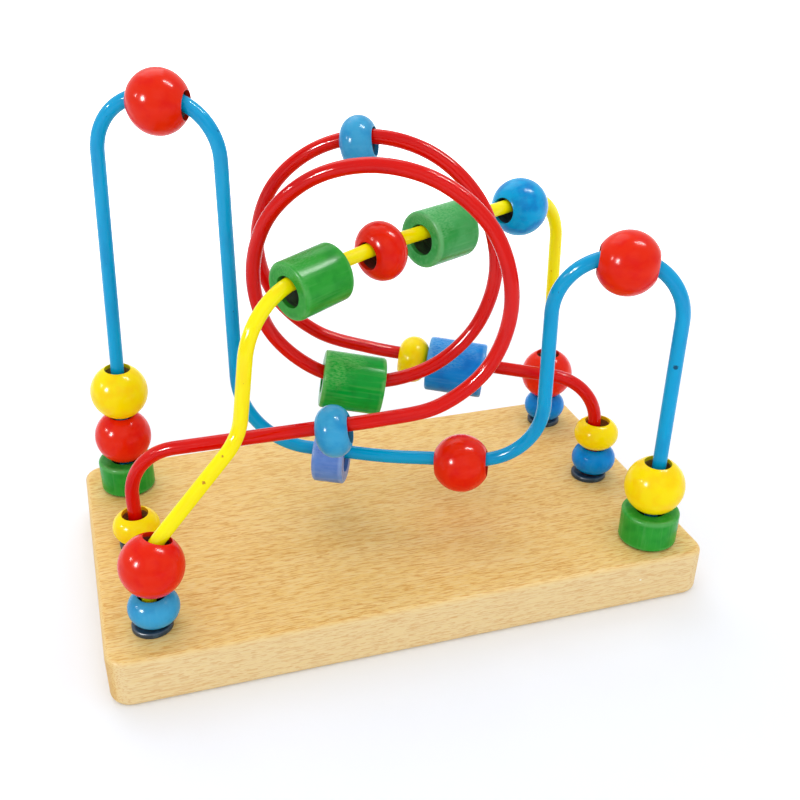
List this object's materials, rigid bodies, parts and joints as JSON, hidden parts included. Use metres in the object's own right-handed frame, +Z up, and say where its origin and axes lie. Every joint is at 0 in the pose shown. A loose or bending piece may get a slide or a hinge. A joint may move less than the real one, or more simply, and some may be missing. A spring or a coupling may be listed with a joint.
{
  "type": "bead maze",
  "caption": "Wooden bead maze: coated wires bent into arches, a slope and a coil stand on a beech board, and painted wooden beads run along them.",
  "frame": {"origin": "middle of the board's underside, which is also the middle of the bounding box's bottom", "axes": "+X along the board's length to the right as pictured, +Y across the board to the back, +Z up"},
  "size_m": [0.258, 0.15, 0.2154],
  "materials": {
    "beech": "clear satin lacquer on beech with short dark ray flecks",
    "bushing": "plain black moulded plastic",
    "wire_blue": "glossy blue coating on steel wire",
    "wire_yellow": "glossy yellow coating on steel wire, lightly scuffed",
    "wire_red": "glossy red coating on steel wire",
    "bead_red": "gloss paint on turned wood",
    "bead_yellow": "gloss paint on turned wood, bare wood in the bore",
    "bead_green": "gloss stain on turned wood, worn paler at the edges",
    "bead_blue": "gloss paint on turned wood",
    "bead_light_blue": "gloss paint on turned wood",
    "bead_lilac": "satin paint on turned wood"
  },
  "bodies": {
    "maze": {"base_board": "beech", "bushing_back_left": "bushing", "bushing_front_right": "bushing", "bushing_front_left": "bushing", "bushing_back_right": "bushing", "bushing_left": "bushing", "bushing_right": "bushing", "wire_blue": "wire_blue", "wire_yellow": "wire_yellow", "wire_red": "wire_red"},
    "left_green_disc": {"blue_wire_green_disc_left": "bead_green"},
    "left_red_ball": {"blue_wire_red_ball_left": "bead_red"},
    "left_yellow_ball": {"blue_wire_yellow_ball_left": "bead_yellow"},
    "tall_arch_ball": {"blue_wire_red_ball_tall_arch": "bead_red"},
    "lilac_cylinder": {"blue_wire_lilac_cylinder": "bead_lilac"},
    "low_ball": {"blue_wire_red_ball_low": "bead_red"},
    "low_arch_ball": {"blue_wire_red_ball_low_arch": "bead_red"},
    "right_green_disc": {"blue_wire_green_disc_right": "bead_green"},
    "right_yellow_ball": {"blue_wire_yellow_ball_right": "bead_yellow"},
    "left_yellow_button": {"red_wire_yellow_button_left": "bead_yellow"},
    "low_oval": {"red_wire_blue_oval_low": "bead_light_blue"},
    "coil_cylinder": {"red_wire_green_cylinder": "bead_green"},
    "coil_oval": {"red_wire_blue_oval_top": "bead_light_blue"},
    "back_oval": {"red_wire_yellow_oval": "bead_yellow"},
    "back_cylinder": {"red_wire_blue_cylinder": "bead_blue"},
    "right_blue_button": {"red_wire_blue_button_right": "bead_blue"},
    "right_yellow_button": {"red_wire_yellow_button_right": "bead_yellow"},
    "front_blue_button": {"yellow_wire_blue_button_left": "bead_light_blue"},
    "front_red_ball": {"yellow_wire_red_ball_left": "bead_red"},
    "run_cylinder_left": {"yellow_wire_green_cylinder_left": "bead_green"},
    "run_oval": {"yellow_wire_red_oval": "bead_red"},
    "run_cylinder_right": {"yellow_wire_green_cylinder_right": "bead_green"},
    "run_ball": {"yellow_wire_blue_ball": "bead_blue"},
    "back_blue_button": {"yellow_wire_blue_button_right": "bead_blue"},
    "back_red_ball": {"yellow_wire_red_ball_right": "bead_red"}
  },
  "joints": [
    {"name": "left_green_disc_slide", "type": "slide", "parent": "maze", "child": "left_green_disc", "axis": [0.0008, -0.0004, 1], "range_m": [0, 0.012]},
    {"name": "left_red_ball_slide", "type": "slide", "parent": "left_green_disc", "child": "left_red_ball", "axis": [0.045, -0.0228, 0.9987], "range_m": [0, 0.024]},
    {"name": "left_yellow_ball_slide", "type": "slide", "parent": "left_red_ball", "child": "left_yellow_ball", "axis": [0.0458, -0.0232, 0.9987], "range_m": [0, 0.06]},
    {"name": "tall_arch_ball_travel", "type": "hinge", "parent": "maze", "child": "tall_arch_ball", "pos_m": [-0.07964, 0.03807, 0.17552], "axis": [0.452, 0.892, 0], "range_deg": [-37, 31]},
    {"name": "lilac_cylinder_slide", "type": "slide", "parent": "maze", "child": "lilac_cylinder", "axis": [0.8919, -0.4521, 0.0106], "range_m": [-0.003, 0.018]},
    {"name": "low_ball_slide", "type": "slide", "parent": "maze", "child": "low_ball", "axis": [0.8917, -0.452, 0.0224], "range_m": [-0.02, 0.002]},
    {"name": "low_arch_ball_travel", "type": "hinge", "parent": "maze", "child": "low_arch_ball", "pos_m": [0.08608, -0.04593, 0.12306], "axis": [0.452, 0.892, 0], "range_deg": [-48, 34]},
    {"name": "right_green_disc_slide", "type": "slide", "parent": "maze", "child": "right_green_disc", "axis": [0, 0, 1], "range_m": [0, 0.02]},
    {"name": "right_yellow_ball_slide", "type": "slide", "parent": "right_green_disc", "child": "right_yellow_ball", "axis": [0, 0, 1], "range_m": [0, 0.04]},
    {"name": "left_yellow_button_slide", "type": "slide", "parent": "maze", "child": "left_yellow_button", "axis": [0, 0, 1], "range_m": [0, 0.012]},
    {"name": "low_oval_slide", "type": "slide", "parent": "maze", "child": "low_oval", "axis": [0.9105, -0.3662, 0.1921], "range_m": [-0.07, 0.018]},
    {"name": "coil_cylinder_travel", "type": "hinge", "parent": "maze", "child": "coil_cylinder", "pos_m": [-0.00109, 0.00245, 0.13504], "axis": [-0.2521, -0.9675, -0.0208], "range_deg": [-42, 66]},
    {"name": "coil_oval_travel", "type": "hinge", "parent": "maze", "child": "coil_oval", "pos_m": [0.0067, 0.02284, 0.13122], "axis": [-0.4893, -0.872, -0.0134], "range_deg": [-68, 66]},
    {"name": "back_oval_slide", "type": "slide", "parent": "maze", "child": "back_oval", "axis": [0.9039, -0.4157, -0.1011], "range_m": [0, 0.01]},
    {"name": "back_cylinder_slide", "type": "slide", "parent": "back_oval", "child": "back_cylinder", "axis": [0.8938, -0.4406, -0.0837], "range_m": [0, 0.028]},
    {"name": "right_blue_button_spin", "type": "hinge", "parent": "maze", "child": "right_blue_button", "pos_m": [0.109, -0.0025, 0.03146], "axis": [0, 0, 1], "continuous": true},
    {"name": "right_yellow_button_slide", "type": "slide", "parent": "maze", "child": "right_yellow_button", "axis": [0, 0, 1], "range_m": [0, 0.005]},
    {"name": "front_blue_button_spin", "type": "hinge", "parent": "maze", "child": "front_blue_button", "pos_m": [-0.1076, -0.05525, 0.03146], "axis": [0, 0, 1], "continuous": true},
    {"name": "front_red_ball_travel", "type": "hinge", "parent": "maze", "child": "front_red_ball", "pos_m": [-0.08396, -0.0427, 0.04183], "axis": [-0.4479, 0.8941, 0], "range_deg": [0, 40]},
    {"name": "run_cylinder_left_slide", "type": "slide", "parent": "maze", "child": "run_cylinder_left", "axis": [0.892, 0.4468, 0.0693], "range_m": [-0.009, 0.009]},
    {"name": "run_oval_slide", "type": "slide", "parent": "maze", "child": "run_oval", "axis": [0.8941, 0.4478, 0.0096], "range_m": [-0.008, 0.006]},
    {"name": "run_cylinder_right_slide", "type": "slide", "parent": "maze", "child": "run_cylinder_right", "axis": [0.8941, 0.4478, -0.0104], "range_m": [-0.007, 0.013]},
    {"name": "run_ball_slide", "type": "slide", "parent": "maze", "child": "run_ball", "axis": [0.8909, 0.4463, -0.0849], "range_m": [-0.013, 0.008]},
    {"name": "back_blue_button_slide", "type": "slide", "parent": "maze", "child": "back_blue_button", "axis": [0, 0, 1], "range_m": [0, 0.02]},
    {"name": "back_red_ball_slide", "type": "slide", "parent": "back_blue_button", "child": "back_red_ball", "axis": [-0.0315, -0.0158, 0.9994], "range_m": [0, 0.04]}
  ]
}
